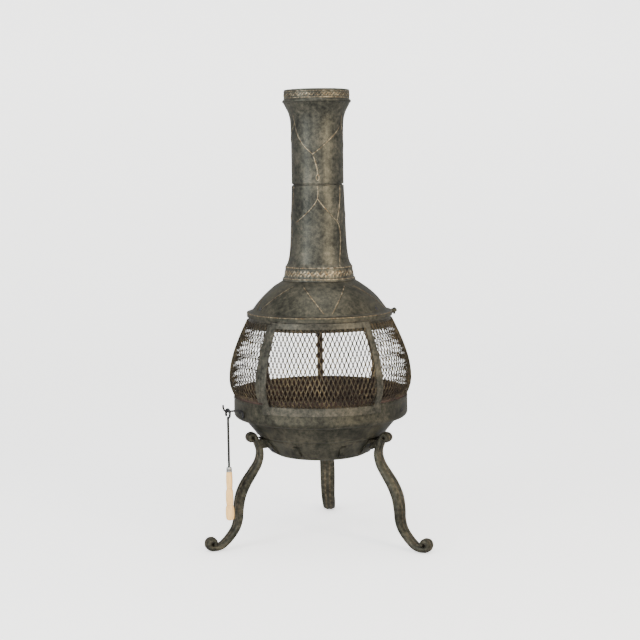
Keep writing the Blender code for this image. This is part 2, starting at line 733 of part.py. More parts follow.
def make_hook(parent):
    points = [polar(p.x, HOOK_BEARING, p.y) for p in smooth_path(hook_line(), 3)]
    rod("poker_hook", points, HOOK_WIRE, BLACK_STEEL, parent, 1)


def make_poker(parent):
    """Rod with an open eye that hangs on the hook, a ferrule and a turned handle."""
    pivot = bpy.data.objects.new("poker_pivot", None)
    bpy.context.collection.objects.link(pivot)
    pivot.parent = parent
    turn = Matrix.Rotation(math.radians(HOOK_BEARING), 4, "Z")
    pivot.matrix_local = Matrix.Translation(polar(POKER_RADIUS, HOOK_BEARING, POKER_PIVOT)) @ turn
    eye_drop = EYE_RADIUS - POKER_ROD / 2 - HOOK_WIRE / 2 - GAP
    eye = arc((0, -eye_drop), EYE_RADIUS, 225, -90, 16)
    down = [(0, -40 * MM), (0, HANDLE_TOP - 18 * MM - POKER_PIVOT)]
    rod("poker_rod", [(x, 0, z) for x, z in eye + down], POKER_ROD, BLACK_STEEL, pivot, 1)

    bore = POKER_ROD / 2 + GAP
    ferrule = [(bore, FERRULE_TOP), (5 * MM, FERRULE_TOP), (6.8 * MM, FERRULE_TOP - 4 * MM),
               (6.8 * MM, HANDLE_TOP + GAP), (bore, HANDLE_TOP + GAP)]
    handle = [(bore, HANDLE_TOP), *[(r * MM, z * MM) for r, z in HANDLE_LINE],
              (0, HANDLE_BOTTOM), (0, HANDLE_TOP - 20 * MM), (bore, HANDLE_TOP - 20 * MM)]
    for name, outline, spec in (("poker_ferrule", ferrule, ZINC), ("poker_handle", handle, WOOD)):
        lowered = [(r, z - POKER_PIVOT) for r, z in outline]
        finish(name, turned(lowered, 14), spec, pivot)


def centre(frame):
    """Moves the frame so that the box round every piece is centred on the origin, standing on Z = 0."""
    bpy.context.view_layer.update()
    graph = bpy.context.evaluated_depsgraph_get()
    low = Vector((math.inf,) * 3)
    high = -low
    for piece in bpy.data.objects:
        if piece.type == "EMPTY" or piece.hide_render:
            continue
        shape = piece.evaluated_get(graph)
        mesh = shape.to_mesh()
        for vertex in mesh.vertices:
            point = shape.matrix_world @ vertex.co
            low = Vector(map(min, low, point))
            high = Vector(map(max, high, point))
        shape.to_mesh_clear()
    frame.location = Vector((-(low.x + high.x) / 2, -(low.y + high.y) / 2, -low.z))


def build():
    clear_scene()
    frame = bpy.data.objects.new("chiminea", None)
    bpy.context.collection.objects.link(frame)
    bowl = make_bowl(frame)
    drill_bowl(bowl, frame)
    make_vents(frame)
    for side in LEG_BEARINGS:
        make_leg(side, frame)
    make_grate(frame)
    make_cage(frame)
    make_door(frame)
    make_dome(frame)
    make_lug(frame)
    make_flue(frame)
    make_hook(frame)
    make_poker(frame)
    centre(frame)


build()
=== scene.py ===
"""Looks of a mesh-sided garden chiminea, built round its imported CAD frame.

Metres, +Z up. Bearings are degrees round the flue axis: 0 is the front (-Y) and +90 is the +X side.
"""

import math

import bmesh
import bpy
import numpy as np
from mathutils import Matrix, Vector


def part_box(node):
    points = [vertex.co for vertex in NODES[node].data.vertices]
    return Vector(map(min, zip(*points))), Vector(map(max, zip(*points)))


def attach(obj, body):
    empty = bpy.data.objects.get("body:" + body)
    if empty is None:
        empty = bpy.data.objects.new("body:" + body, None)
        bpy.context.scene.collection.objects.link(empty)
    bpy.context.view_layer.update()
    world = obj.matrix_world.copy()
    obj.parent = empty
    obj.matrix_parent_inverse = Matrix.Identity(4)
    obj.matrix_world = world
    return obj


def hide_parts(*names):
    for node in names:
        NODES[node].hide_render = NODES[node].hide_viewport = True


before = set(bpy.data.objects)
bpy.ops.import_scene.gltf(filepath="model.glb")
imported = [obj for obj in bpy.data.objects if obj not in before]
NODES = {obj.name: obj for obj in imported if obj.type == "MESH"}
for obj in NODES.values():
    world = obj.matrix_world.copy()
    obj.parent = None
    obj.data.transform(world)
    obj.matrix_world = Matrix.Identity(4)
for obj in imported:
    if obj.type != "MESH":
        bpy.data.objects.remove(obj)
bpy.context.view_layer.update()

MM = 0.001

flue_low, flue_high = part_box("flue_upper")
AXIS = Vector(((flue_low.x + flue_high.x) / 2, (flue_low.y + flue_high.y) / 2, 0))

# Sizes that the CAD frame has, in metres
RIM_BOTTOM, RIM_TOP = 328 * MM, 375 * MM
RING_TOP = 388 * MM
MESH_BOTTOM, MESH_TOP = 381 * MM, 569 * MM
LIP_BOTTOM = 577 * MM
DOME_TOP = 667 * MM
FLUE_JOINT = 907 * MM
TOTAL = 1143 * MM
BOWL_RIM = 221.5 * MM
BARREL = 232 * MM
FLUE = 65.5 * MM
LIP = 184.5 * MM
STRIP = 3 * MM
LEGS = {"left": -66, "right": 57, "rear": 176}
DOOR = (-39.0, 40.4)
DOOR_STILE = 4.8
DOOR_TOP, DOOR_BOTTOM = 574.5 * MM, 354 * MM
DOOR_WINDOW = (374 * MM, 560.5 * MM)
HOOK_BEARING = -59.5
POKER_RADIUS, POKER_PIVOT = 266 * MM, 355 * MM
WALL = 3 * MM
NECK = 61.9 * MM
FERRULE_TOP, HANDLE_TOP, HANDLE_END = 216 * MM, 204 * MM, 82 * MM
HOOK_WIRE, ROD_WIRE, EYE = 2.5 * MM, 3 * MM, 10.5 * MM

# Fineness of the visible surfaces
FLUE_STEPS, DOME_STEPS, BOWL_STEPS, RING_STEPS = 420, 640, 240, 200
FLUE_GRAIN, DOME_GRAIN, BOWL_GRAIN = 1.15 * MM, 1.5 * MM, 3 * MM
WELD = 1e-6


# ---------------------------------------------------------------- helpers

def polar(radius, bearing, height=0.0):
    angle = math.radians(bearing)
    return AXIS + Vector((radius * math.sin(angle), -radius * math.cos(angle), height))


def outward(bearing, radius, height, tilt=0.0):
    """A frame whose own +Z points out from the flue axis, tilted down by tilt degrees."""
    turn = Matrix.Rotation(math.radians(bearing), 4, "Z")
    lean = Matrix.Rotation(math.radians(90 + tilt), 4, "X")
    return Matrix.Translation(polar(radius, bearing, height)) @ turn @ lean


def add_piece(name, mesh, materials, body, nodes=()):
    for one in materials:
        mesh.materials.append(one)
    made = bpy.data.objects.new(name, mesh)
    bpy.context.scene.collection.objects.link(made)
    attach(made, body)
    if nodes:
        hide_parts(*nodes)
    return made


def smooth(mesh, sharp=40):
    mesh.shade_smooth()
    mesh.set_sharp_from_angle(angle=math.radians(sharp))
    return mesh


def loose_mesh(name, bm, sharp=40):
    bmesh.ops.recalc_face_normals(bm, faces=bm.faces)
    mesh = bpy.data.meshes.new(name)
    bm.to_mesh(mesh)
    bm.free()
    return smooth(mesh, sharp)


def mesh_of(name, bm, sharp=40):
    """As loose_mesh, with vertices in the same place made one."""
    bmesh.ops.remove_doubles(bm, verts=bm.verts, dist=WELD)
    return loose_mesh(name, bm, sharp)


def soften(made, width):
    bevel = made.modifiers.new("soften", "BEVEL")
    bevel.width = width
    bevel.segments = 2
    bevel.limit_method = "ANGLE"
    bevel.angle_limit = math.radians(50)


def join_rings(bm, rings, closed=True):
    """Quads from each ring of vertices to the next; closed joins each ring's last vertex to its first."""
    for here, there in zip(rings, rings[1:]):
        for i in range(len(here) if closed else len(here) - 1):
            j = (i + 1) % len(here)
            bm.faces.new((here[i], here[j], there[j], there[i]))


def cap_ends(bm, rings):
    bm.faces.new(rings[0])
    bm.faces.new(rings[-1][::-1])


def spun_rings(bm, outline, steps, place=Matrix.Identity(4)):
    """The outline's vertices, as (radius, height), at each step round the place's own Z."""
    rings = []
    for k in range(steps):
        angle = 2 * math.pi * k / steps
        rings.append([bm.verts.new(place @ Vector((r * math.cos(angle), r * math.sin(angle), z)))
                      for r, z in outline])
    return rings


def arc(centre, radius, start, end, steps):
    points = []
    for i in range(steps + 1):
        angle = math.radians(start + (end - start) * i / steps)
        points.append((centre[0] + radius * math.cos(angle), centre[1] + radius * math.sin(angle)))
    return points


def bezier(controls, steps):
    degree = len(controls) - 1
    points = []
    for i in range(steps + 1):
        t = i / steps
        weights = [math.comb(degree, k) * t**k * (1 - t) ** (degree - k) for k in range(degree + 1)]
        points.append(tuple(sum(w * c[a] for w, c in zip(weights, controls)) for a in range(2)))
    return points


def fillet(points, radius, steps=4):
    """The open line with each inner corner rounded."""
    line = [Vector(p) for p in points]
    made = [line[0]]
    for before, here, after in zip(line, line[1:], line[2:]):
        reach = min(radius, 0.45 * (here - before).length, 0.45 * (after - here).length)
        a = here + (before - here).normalized() * reach
        b = here + (after - here).normalized() * reach
        for i in range(steps + 1):
            t = i / steps
            made.append(a * (1 - t) ** 2 + here * 2 * t * (1 - t) + b * t**2)
    made.append(line[-1])
    return [tuple(p) for p in made]


def run_along(line):
    """The distance along the line to each of its points."""
    return np.concatenate([[0], np.cumsum(np.linalg.norm(np.diff(line, axis=0), axis=1))])


def resample(points, step):
    """Points a step apart along a line, its ends kept."""
    line = np.array([tuple(p) for p in points], float)
    run = run_along(line)
    count = max(2, int(round(run[-1] / step)) + 1)
    at = np.linspace(0, run[-1], count)
    return np.stack([np.interp(at, run, line[:, k]) for k in range(line.shape[1])], axis=1)


def catmull(points, steps):
    """A smooth line through the points."""
    padded = [points[0], *points, points[-1]]
    route = []
    for i in range(len(points) - 1):
        a, b, c, d = (Vector(p) for p in padded[i:i + 4])
        for k in range(steps):
            t = k / steps
            route.append((2 * b + (c - a) * t + (2 * a - 5 * b + 4 * c - d) * t**2
                          + (3 * b - a - 3 * c + d) * t**3) / 2)
    route.append(Vector(points[-1]))
    return route


# ---------------------------------------------------------------- turned pieces with relief

def turned(name, outer, inner, steps, relief=None, rubbed=1.0):
    """A closed turned shell: outer and inner lines both run from top to bottom as (radius, height).

    relief(bearing, along, radius, height) lifts the outer face; along is the distance down the outer line.
    The lift is kept as a share of 1 mm in the attribute "relief", for the worn high points.
    The inside takes the second material.
    """
    outer = np.array([tuple(p) for p in outer], float)
    inner = np.array([tuple(p) for p in inner], float)[::-1]
    count = len(outer)
    line = np.concatenate([outer, inner])
    bearing = np.radians(360 * np.arange(steps) / steps)
    along = run_along(outer)
    tangent = np.gradient(outer, axis=0)
    tangent /= np.maximum(np.linalg.norm(tangent, axis=1, keepdims=True), 1e-9)
    normal = np.stack([-tangent[:, 1], tangent[:, 0]], axis=1)
    radius = np.repeat(line[None, :, 0], steps, axis=0)
    height = np.repeat(line[None, :, 1], steps, axis=0)
    worn = np.zeros_like(radius)
    if relief is not None:
        lift = relief(np.degrees(bearing)[:, None], along[None, :],
                      outer[None, :, 0], outer[None, :, 1])
        lift[:, [0, -1]] = 0
        radius[:, :count] += lift * normal[:, 0]
        height[:, :count] += lift * normal[:, 1]
        worn[:, :count] = lift / MM * rubbed
    x = AXIS.x + radius * np.sin(bearing)[:, None]
    y = AXIS.y - radius * np.cos(bearing)[:, None]
    verts = np.stack([x, y, height], axis=2).reshape(-1, 3)
    n = len(line)
    here = np.arange(steps)[:, None] * n
    there = ((np.arange(steps) + 1) % steps)[:, None] * n
    i = np.arange(n)[None, :]
    j = (np.arange(n) + 1)[None, :] % n
    faces = np.stack([here + i, here + j, there + j, there + i], axis=2).reshape(-1, 4)
    mesh = bpy.data.meshes.new(name)
    mesh.from_pydata(verts.tolist(), [], faces.tolist())
    mark = mesh.attributes.new("relief", "FLOAT", "POINT")
    mark.data.foreach_set("value", np.clip(worn, 0, 2).astype(np.float32).ravel())
    index = np.zeros((steps, n), np.int32)
    index[:, count - 1:] = 1
    index[:, -1] = 0
    mesh.polygons.foreach_set("material_index", index.ravel())
    mesh.update()
    return smooth(mesh)


def distance_down(outer):
    """A function that turns a height into the distance down the outer line."""
    run = run_along(outer)
    return lambda height: float(np.interp(-height, -outer[:, 1], run))


def to_lines(lines, at):
    """Lines given as (bearing, height) with their heights turned into distances along the outline."""
    return [[(b, at(z)) for b, z in line] for line in lines]


def in_metres(lines):
    return [[(b, z * MM) for b, z in line] for line in lines]


def mirrored(line):
    return [[(b * side, z) for b, z in line] for side in (1, -1)]


def rib_lift(bearing, along, radius, lines, width, height, period, centre):
    """Raised lines repeated round the axis, from their distance to each line's stretches."""
    beta = (bearing - centre + period / 2) % period - period / 2
    u = np.radians(beta) * radius
    nearest = np.full(np.broadcast(u, along).shape, 1.0)
    for line in lines:
        for (b0, s0), (b1, s1) in zip(line, line[1:]):
            for shift in (-period, 0, period):
                ax, bx = np.radians(b0 + shift) * radius, np.radians(b1 + shift) * radius
                dx, ds = bx - ax, s1 - s0
                t = np.clip(((u - ax) * dx + (along - s0) * ds) / (dx * dx + ds * ds + 1e-12), 0, 1)
                gap = np.hypot(u - ax - t * dx, along - s0 - t * ds)
                nearest = np.minimum(nearest, gap)
    return height * np.exp(-(nearest / width) ** 2)


def ridge(along, place, width, height):
    return height * np.exp(-((along - place) / width) ** 2)


def flowers(bearing, along, radius, middle, half, count, height):
    """A band of four-petalled flowers with a leaf between each pair."""
    pitch = 360 / count
    inside = np.clip((half - np.abs(along - middle)) / (1.2 * MM), 0, 1)

    def bloom(shift, size, petals, turn):
        beta = (bearing - shift + pitch / 2) % pitch - pitch / 2
        x, y = np.radians(beta) * radius, along - middle
        far = np.hypot(x, y) + 1e-9
        angle = np.arctan2(y, x) + turn
        petal = np.clip(1 - far / size, 0, 1) ** 0.6 * (0.5 + 0.5 * np.cos(petals * angle)) ** 1.5
        boss = np.exp(-(far / (0.16 * size)) ** 2)
        return np.maximum(petal, boss)

    lift = np.maximum(bloom(0, half * 1.15, 4, math.pi / 4), bloom(pitch / 2, half * 0.95, 2, 0.7))
    return height * lift * inside


# ---------------------------------------------------------------- materials

def shader_nodes(name):
    made = bpy.data.materials.new(name)
    made.use_nodes = True
    return made, made.node_tree, made.node_tree.nodes["Principled BSDF"]


def noise_node(tree, coords, scale, detail, rough=0.55, stretch=None):
    source = coords
    if stretch:
        mapping = tree.nodes.new("ShaderNodeMapping")
        mapping.inputs["Scale"].default_value = stretch
        tree.links.new(coords, mapping.inputs["Vector"])
        source = mapping.outputs["Vector"]
    made = tree.nodes.new("ShaderNodeTexNoise")
    made.inputs["Scale"].default_value = scale
    made.inputs["Detail"].default_value = detail
    made.inputs["Roughness"].default_value = rough
    tree.links.new(source, made.inputs["Vector"])
    return made.outputs["Fac"]


def ramp(tree, value, stops):
    made = tree.nodes.new("ShaderNodeValToRGB")
    band = made.color_ramp
    while len(band.elements) < len(stops):
        band.elements.new(0.5)
    for element, (place, colour) in zip(band.elements, stops):
        element.position = place
        element.color = (*colour, 1) if isinstance(colour, tuple) else (colour, colour, colour, 1)
    tree.links.new(value, made.inputs["Fac"])
    return made.outputs["Color"]


def mix(tree, factor, a, b, blend="MIX"):
    made = tree.nodes.new("ShaderNodeMix")
    made.data_type = "RGBA"
    made.blend_type = blend
    for socket, value in ((made.inputs["Factor"], factor), (made.inputs["A"], a), (made.inputs["B"], b)):
        if isinstance(value, bpy.types.NodeSocket):
            tree.links.new(value, socket)
        elif isinstance(value, tuple):
            socket.default_value = (*value, 1)
        else:
            socket.default_value = value
    return made.outputs["Result"]


def multiply(tree, a, b):
    made = tree.nodes.new("ShaderNodeMath")
    made.operation = "MULTIPLY"
    tree.links.new(a, made.inputs[0])
    tree.links.new(b, made.inputs[1])
    return made.outputs["Value"]


def relief_mark(tree):
    made = tree.nodes.new("ShaderNodeAttribute")
    made.attribute_name = "relief"
    return made.outputs["Fac"]


def bump_from(tree, shader, height, strength, distance):
    made = tree.nodes.new("ShaderNodeBump")
    made.inputs["Strength"].default_value = strength
    made.inputs["Distance"].default_value = distance
    tree.links.new(height, made.inputs["Height"])
    tree.links.new(made.outputs["Normal"], shader.inputs["Normal"])


# Where the rubbed gold begins and is whole, as a share of 1 mm of relief
WORN_FROM, WORN_TO = 0.25, 0.8


def cast_metal(name, dark, middle, light, gold, metallic, rough, pits=0.35):
    """Cast iron with a mottled bronze-grey finish, and rubbed gold on whatever stands proud."""
    made, tree, shader = shader_nodes(name)
    coords = tree.nodes.new("ShaderNodeTexCoord").outputs["Object"]
    clouds = noise_node(tree, coords, 14, 5, 0.6)
    mottle = noise_node(tree, coords, 110, 6, 0.65)
    grain = noise_node(tree, coords, 900, 4, 0.6)
    tone = ramp(tree, mix(tree, 0.55, clouds, mottle), [(0.38, dark), (0.5, middle), (0.64, light)])
    specks = ramp(tree, grain, [(0.35, 0.72), (0.7, 1.25)])
    tone = mix(tree, 1.0, tone, specks, "MULTIPLY")
    patchy = ramp(tree, mottle, [(0.40, 0.2), (0.58, 1.0)])
    worn = ramp(tree, relief_mark(tree), [(WORN_FROM, 0.0), (WORN_TO, 1.0)])
    deep_gold = tuple(c * k for c, k in zip(gold, (0.55, 0.40, 0.32)))
    pale_gold = tuple(c * k for c, k in zip(gold, (1.55, 1.65, 1.95)))
    rubbed = ramp(tree, noise_node(tree, coords, 160, 3, 0.5),
                  [(0.36, deep_gold), (0.5, gold), (0.62, pale_gold)])
    tone = mix(tree, multiply(tree, worn, patchy), tone, rubbed)
    tree.links.new(tone, shader.inputs["Base Color"])
    gloss = ramp(tree, mottle, [(0.3, rough[0]), (0.7, rough[1])])
    tree.links.new(gloss, shader.inputs["Roughness"])
    shader.inputs["Metallic"].default_value = metallic

    cells = tree.nodes.new("ShaderNodeTexVoronoi")
    cells.inputs["Scale"].default_value = 260
    tree.links.new(coords, cells.inputs["Vector"])
    rough_height = mix(tree, 0.5, cells.outputs["Distance"], grain)
    bump_from(tree, shader, mix(tree, 0.4, rough_height, mottle), pits, 0.6 * MM)
    return made


# Each metal's colours are its dark, middle and light tones and its rubbed gold
BODY = cast_metal("body_bronze_grey",
                  (0.024, 0.024, 0.018), (0.062, 0.059, 0.044), (0.130, 0.118, 0.084), (0.27, 0.205, 0.115),
                  metallic=0.8, rough=(0.38, 0.56))
FLUE_CAST = cast_metal("flue_bronze_grey",
                       (0.030, 0.031, 0.026), (0.075, 0.073, 0.058),
                       (0.150, 0.138, 0.104), (0.34, 0.265, 0.155),
                       metallic=0.8, rough=(0.38, 0.54))
STRIPS = cast_metal("strip_bronze_grey",
                    (0.034, 0.033, 0.027), (0.085, 0.080, 0.063), (0.170, 0.152, 0.110), (0.30, 0.23, 0.13),
                    metallic=0.8, rough=(0.34, 0.5), pits=0.2)
# A darker, browner and duller copy of the cast finish, for the faces inside the body, the lower cage ring and
# the grate.
DARK_INSIDE = cast_metal("dark_dull_inside",
                  (0.014, 0.009, 0.007), (0.036, 0.021, 0.015), (0.072, 0.040, 0.026), (0.10, 0.06, 0.03),
                  metallic=0.15, rough=(0.75, 0.95), pits=0.6)
WIRE = cast_metal("mesh_bronze",
                  (0.018, 0.014, 0.010), (0.054, 0.043, 0.027), (0.150, 0.115, 0.064), (0.30, 0.22, 0.12),
                  metallic=0.7, rough=(0.42, 0.58), pits=0.1)
BLACK = cast_metal("black_paint",
                   (0.006, 0.006, 0.007), (0.012, 0.012, 0.013), (0.022, 0.022, 0.024), (0.10, 0.09, 0.08),
                   metallic=0.1, rough=(0.5, 0.65), pits=0.04)


def zinc_material():
    made, tree, shader = shader_nodes("zinc_plate")
    coords = tree.nodes.new("ShaderNodeTexCoord").outputs["Object"]
    brushed = noise_node(tree, coords, 40, 6, 0.7, (1, 1, 18))
    tree.links.new(ramp(tree, brushed, [(0.3, (0.42, 0.42, 0.40)), (0.7, (0.70, 0.69, 0.66))]),
                   shader.inputs["Base Color"])
    tree.links.new(ramp(tree, brushed, [(0.3, 0.24), (0.7, 0.42)]), shader.inputs["Roughness"])
    shader.inputs["Metallic"].default_value = 1.0
    return made


def wood_material():
    """Pale turned wood whose grain runs along the handle."""
    made, tree, shader = shader_nodes("pale_turned_wood")
    coords = tree.nodes.new("ShaderNodeTexCoord").outputs["Object"]
    streaks = noise_node(tree, coords, 260, 5, 0.6, (1, 1, 0.06))
    broad = noise_node(tree, coords, 60, 3, 0.5, (1, 1, 0.15))
    pores = noise_node(tree, coords, 1500, 2, 0.5, (1, 1, 0.05))
    tone = ramp(tree, streaks, [(0.3, (0.46, 0.24, 0.06)), (0.5, (0.62, 0.36, 0.11)),
                                (0.68, (0.74, 0.48, 0.18))])
    tone = mix(tree, 0.35, tone, ramp(tree, broad, [(0.35, (0.46, 0.25, 0.07)), (0.65, (0.76, 0.50, 0.20))]))
    tone = mix(tree, 1.0, tone, ramp(tree, pores, [(0.28, 0.70), (0.45, 1.0)]), "MULTIPLY")
    tone = mix(tree, relief_mark(tree), tone, (0.30, 0.17, 0.07))
    tree.links.new(tone, shader.inputs["Base Color"])
    tree.links.new(ramp(tree, streaks, [(0.3, 0.42), (0.7, 0.58)]), shader.inputs["Roughness"])
    bump_from(tree, shader, pores, 0.15, 0.3 * MM)
    return made


ZINC = zinc_material()
WOOD = wood_material()


# ---------------------------------------------------------------- flue

def flue_upper():
    bead = arc((82.2 * MM, 1114 * MM), 4.3 * MM, 75, -75, 14)
    outer = [(79 * MM, TOTAL), (82 * MM, TOTAL - 0.6 * MM), (82.3 * MM, 1140 * MM), (82 * MM, 1120.5 * MM),
             *bead]
    curve = catmull([(80.5 * MM, 1104 * MM), (78 * MM, 1099 * MM), (72 * MM, 1087 * MM), (68 * MM, 1072 * MM),
                     (66.2 * MM, 1052 * MM), (FLUE, 1015 * MM)], 8)
    outer = fillet(outer, 1.2 * MM) + [tuple(p) for p in curve]
    outer += [(FLUE, FLUE_JOINT + 3.4 * MM), (FLUE - 0.8 * MM, FLUE_JOINT + 2 * MM)]
    outer = resample(outer, FLUE_GRAIN)
    inner = [(76 * MM, TOTAL), (76 * MM, 1110 * MM), (68.5 * MM, 1085 * MM), (62.5 * MM, 1050 * MM),
             (62.5 * MM, FLUE_JOINT + 2 * MM)]
    at = distance_down(outer)
    # Branches rise from a fork and cross the next motif's; a stem with an oval drop hangs from the fork.
    right = bezier([(0, 983), (16, 996), (34, 1014), (52, 1032), (67, 1046), (73, 1060)], 14)
    left = bezier([(0, 983), (-14, 995), (-32, 1015), (-43, 1034), (-46, 1056), (-48, 1080)], 14)
    stem = bezier([(0, 983), (6, 963), (10, 945), (10, 933)], 8)
    drop = [(10 + 3.2 * math.sin(a), 925 + 7 * math.cos(a)) for a in np.linspace(0, 2 * math.pi, 15)]
    inside = [(b * 0.9, z + 5) for b, z in right[4:]]
    fall = bezier([(-41, 1022), (-46, 1000), (-38, 960), (-38, 918)], 8)
    lines = to_lines(in_metres([right, left, stem, drop]), at)
    faint = to_lines(in_metres([inside, fall]), at)

    def relief(bearing, along, radius, height):
        lift = rib_lift(bearing, along, radius, lines, 1.0 * MM, 0.95 * MM, 120, -10)
        lift = np.maximum(lift, rib_lift(bearing, along, radius, faint, 0.85 * MM, 0.42 * MM, 120, -10))
        lift = np.maximum(lift, ridge(along, at(1137.3 * MM), 0.9 * MM, 0.8 * MM))
        lift = np.maximum(lift, ridge(along, at(1121.5 * MM), 1.0 * MM, 0.9 * MM))
        lift = np.maximum(lift, flowers(bearing, along, radius, at(1129.3 * MM), 6.6 * MM, 30, 1.2 * MM))
        return lift

    mesh = turned("flue_upper_relief", outer, inner, FLUE_STEPS, relief)
    add_piece("flue_upper_relief", mesh, [FLUE_CAST, DARK_INSIDE], "chiminea", ["flue_upper"])


def flue_lower():
    outer = [(NECK, FLUE_JOINT + 24 * MM), (NECK, FLUE_JOINT - 0.4 * MM),
             (FLUE - 0.6 * MM, FLUE_JOINT - 0.6 * MM), (FLUE + 0.3 * MM, FLUE_JOINT - 2 * MM)]
    flank = catmull([(66.0 * MM, 900 * MM), (68.4 * MM, 835 * MM), (70.6 * MM, 778 * MM),
                     (72.5 * MM, 748 * MM), (75.5 * MM, 725 * MM), (79.6 * MM, 710.5 * MM)], 8)
    seat = DOME_TOP + 0.5 * MM
    skirt = [(83.6 * MM, 704 * MM), (85.2 * MM, 700 * MM), (85.0 * MM, 694 * MM), (86.6 * MM, 684 * MM),
             (89.6 * MM, 674.5 * MM), (93 * MM, seat + 3 * MM), (92.5 * MM, seat)]
    outer = fillet(outer, 0.7 * MM, 3) + [tuple(p) for p in flank] + fillet(skirt, 2 * MM)
    outer = resample(outer, FLUE_GRAIN)
    inner = [(NECK - WALL, FLUE_JOINT + 24 * MM), (NECK - WALL, FLUE_JOINT),
             (62.5 * MM, FLUE_JOINT - 30 * MM), (70 * MM, 735 * MM), (82 * MM, 692 * MM), (89 * MM, seat)]
    at = distance_down(outer)
    # Arches spring from a stem under the joint and meet the lines that run down between them.
    right = bezier([(0, 873), (7, 860), (18, 845), (32, 829), (43, 816)], 12)
    left = bezier([(0, 873), (-5, 858), (-16, 843), (-34, 826), (-50, 815)], 12)
    stem = [(0, 904), (1.2, 892), (0, 873)]
    side = bezier([(57, 904), (57, 885), (54, 850), (43, 816)], 12)
    down = bezier([(43, 816), (55, 802), (56, 765), (40, 704)], 14)
    lines = to_lines(in_metres([right, left, stem, side, down]), at)

    def relief(bearing, along, radius, height):
        lift = rib_lift(bearing, along, radius, lines, 1.0 * MM, 0.95 * MM, 120, -1)
        lift = np.where(height > FLUE_JOINT - 3 * MM, 0, lift)
        lift = np.maximum(lift, ridge(along, at(701.5 * MM), 1.3 * MM, 1.2 * MM))
        lift = np.maximum(lift, ridge(along, at(673.5 * MM), 1.2 * MM, 1.1 * MM))
        lift = np.maximum(lift, flowers(bearing, along, radius, at(687 * MM), 10.5 * MM, 26, 1.35 * MM))
        return lift

    mesh = turned("flue_lower_relief", outer, inner, FLUE_STEPS, relief)
    add_piece("flue_lower_relief", mesh, [FLUE_CAST, DARK_INSIDE], "chiminea", ["flue_lower"])


# ---------------------------------------------------------------- dome, bowl and rings

def dome():
    flank = bezier([(92 * MM, DOME_TOP), (140.9 * MM, 638 * MM), (171.5 * MM, 592 * MM)], 40)
    outer = [(80 * MM, DOME_TOP + 17 * MM), (80 * MM, DOME_TOP + 0.8 * MM)]
    lip_top = LIP_BOTTOM + 11 * MM
    tail = fillet([flank[-3], flank[-1], (178 * MM, lip_top + 0.8 * MM), (LIP - 0.8 * MM, lip_top),
                   (LIP, lip_top - 2 * MM), (LIP, LIP_BOTTOM)], 1.6 * MM)
    outer = resample(outer + flank[:-3] + tail, DOME_GRAIN)
    inner = [(77 * MM, DOME_TOP + 17 * MM), (77 * MM, DOME_TOP - 1.6 * MM)]
    inner += [(r - WALL * 0.55, z - WALL * 0.84) for r, z in flank[2:-1:4]]
    inner += [(169 * MM, 589 * MM), (181.5 * MM, 585 * MM), (181.5 * MM, LIP_BOTTOM)]
    at = distance_down(outer)
    # Two ribs part from each other as they rise, with a fainter pair inside them.
    right = bezier([(3.5, 597), (6.5, 606), (9.5, 622), (17, 641), (28, 657)], 16)
    inside = bezier([(3.5, 607), (7, 620), (12, 636), (22, 652)], 12)
    lines, faint = (to_lines(in_metres(mirrored(line)), at) for line in (right, inside))

    def relief(bearing, along, radius, height):
        lift = rib_lift(bearing, along, radius, lines, 1.2 * MM, 1.0 * MM, 72, 7)
        lift = np.maximum(lift, rib_lift(bearing, along, radius, faint, 1.0 * MM, 0.22 * MM, 72, 7))
        cord = ridge(along, at(lip_top - 0.8 * MM), 1.4 * MM, 1.2 * MM)
        lift = np.maximum(lift, cord * (0.75 + 0.25 * np.cos(np.radians(bearing) * 160)))
        return np.where(height > DOME_TOP, 0, lift)

    mesh = turned("dome_relief", outer, inner, DOME_STEPS, relief)
    add_piece("dome_relief", mesh, [BODY, DARK_INSIDE], "chiminea", ["dome"])


def bowl():
    floor = 224.5 * MM
    outer = [(221.0 * MM, RIM_TOP), (BOWL_RIM, RIM_TOP - 1.2 * MM), (BOWL_RIM, RIM_BOTTOM + 1 * MM),
             (217.5 * MM, 323 * MM), (199 * MM, 320.5 * MM), (168.5 * MM, 283 * MM), (165.4 * MM, 279 * MM),
             (121 * MM, 227.5 * MM), (115 * MM, floor), (6 * MM, floor), (0, floor)]
    outer = resample(fillet(outer, 1.8 * MM, 4)[:-1], BOWL_GRAIN).tolist() + [[0, floor]]
    inner = [(218.3 * MM, RIM_TOP), (218.3 * MM, 330 * MM), (215 * MM, 326.4 * MM),
             (196.8 * MM, 323.4 * MM), (165.2 * MM, 284.5 * MM), (161.8 * MM, 280 * MM),
             (118.6 * MM, 229.6 * MM), (113 * MM, 227.7 * MM), (0, 227.7 * MM)]

    def relief(bearing, along, radius, height):
        top = ridge(height, RIM_TOP - 3.5 * MM, 1.6 * MM, 0.5 * MM)
        foot = ridge(height, RIM_BOTTOM + 5 * MM, 1.4 * MM, 0.35 * MM)
        edge = ridge(height, 281 * MM, 1.5 * MM, 1.3 * MM) - ridge(height, 276 * MM, 1.8 * MM, 1.4 * MM)
        seam = ridge(height, 366 * MM, 1.4 * MM, 0.9 * MM)
        return (np.maximum(top, foot) + edge - seam) * np.ones_like(bearing)

    mesh = turned("fire_bowl_cast", outer, inner, BOWL_STEPS, relief, rubbed=0.3)
    bm = bmesh.new()
    bm.from_mesh(mesh)
    bmesh.ops.remove_doubles(bm, verts=bm.verts, dist=WELD)
    bm.to_mesh(mesh)
    bm.free()
    smooth(mesh)
    add_piece("fire_bowl_cast", mesh, [BODY, DARK_INSIDE], "chiminea", ["fire_bowl"])


# ---------------------------------------------------------------- cage and door

def barrel_line():
    """The cage's outline from the dome's lip to the rim, as (radius, height); widest at the waist."""
    waist = 418 * MM
    upper = bezier([(183 * MM, 572 * MM), (212 * MM, 514 * MM), (BARREL, 466 * MM), (BARREL, waist)], 60)
    lower = bezier([(BARREL, waist), (BARREL, 402 * MM), (226 * MM, 388 * MM), (219 * MM, 374 * MM)], 30)
    return np.array(upper + lower[1:])


